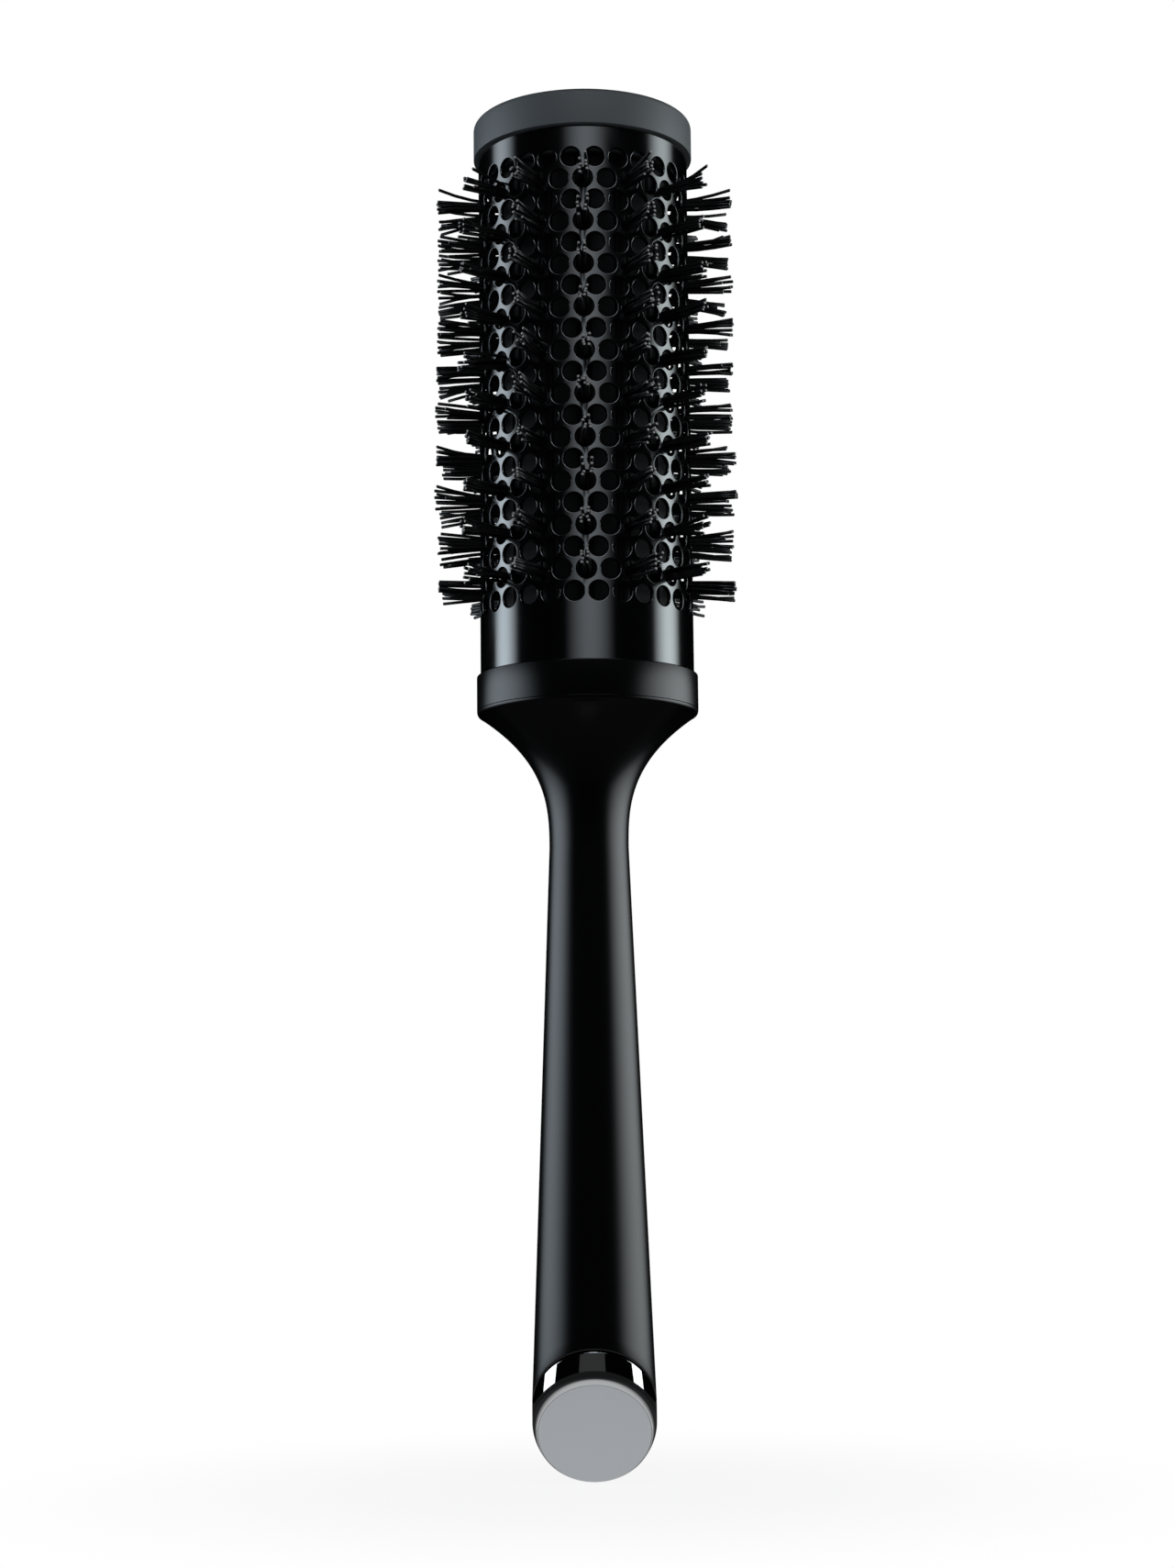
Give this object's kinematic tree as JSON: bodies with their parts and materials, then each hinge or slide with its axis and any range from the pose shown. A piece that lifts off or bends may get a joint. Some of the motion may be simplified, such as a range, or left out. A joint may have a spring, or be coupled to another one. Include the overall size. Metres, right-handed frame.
{
  "type": "round hair brush",
  "caption": "Vented round hair brush: a coated metal barrel with tufts of nylon bristles, a flared soft-touch handle and a slanted end with a flat plate.",
  "frame": {"origin": "on the brush's axis, level with the lowest edge of the slanted handle end", "axes": "+Z along the brush from the handle to the end cap; -Y is the front, which the slanted end plate faces; +X is to the right seen from the front"},
  "size_m": [0.0644, 0.066, 0.2876],
  "materials": {
    "barrel_coating": "gloss dark ceramic coating",
    "cap_plastic": "soft matt black",
    "collar_plastic": "soft matt black",
    "core_plastic": "moulded black",
    "top_disc_plastic": "moulded black",
    "rod_steel": "drawn steel",
    "fastener_steel": "zinc plated",
    "handle_core_plastic": "moulded black",
    "grip_soft_touch": "soft-touch matt black",
    "band_chrome": "polished, mirror bright",
    "plate_satin": "satin silver grey",
    "bristle_nylon": "black nylon, slight gloss"
  },
  "bodies": {
    "root": {"barrel": "barrel_coating", "end_cap": "cap_plastic", "barrel_collar": "collar_plastic", "bristle_core": "core_plastic", "core_top_disc": "top_disc_plastic", "centre_rod": "rod_steel", "rod_washer": "fastener_steel", "rod_nut": "fastener_steel", "handle_core": "handle_core_plastic", "handle_grip": "grip_soft_touch", "end_band": "band_chrome", "end_plate": "plate_satin", "bristle_strip_01": "bristle_nylon", "bristle_strip_02": "bristle_nylon", "bristle_strip_03": "bristle_nylon", "bristle_strip_04": "bristle_nylon", "bristle_strip_05": "bristle_nylon", "bristle_strip_06": "bristle_nylon", "bristle_strip_07": "bristle_nylon", "bristle_strip_08": "bristle_nylon", "bristle_strip_09": "bristle_nylon", "bristle_strip_10": "bristle_nylon", "bristle_strip_11": "bristle_nylon", "bristle_strip_12": "bristle_nylon", "bristle_strip_13": "bristle_nylon", "bristle_strip_14": "bristle_nylon"}
  },
  "joints": []
}
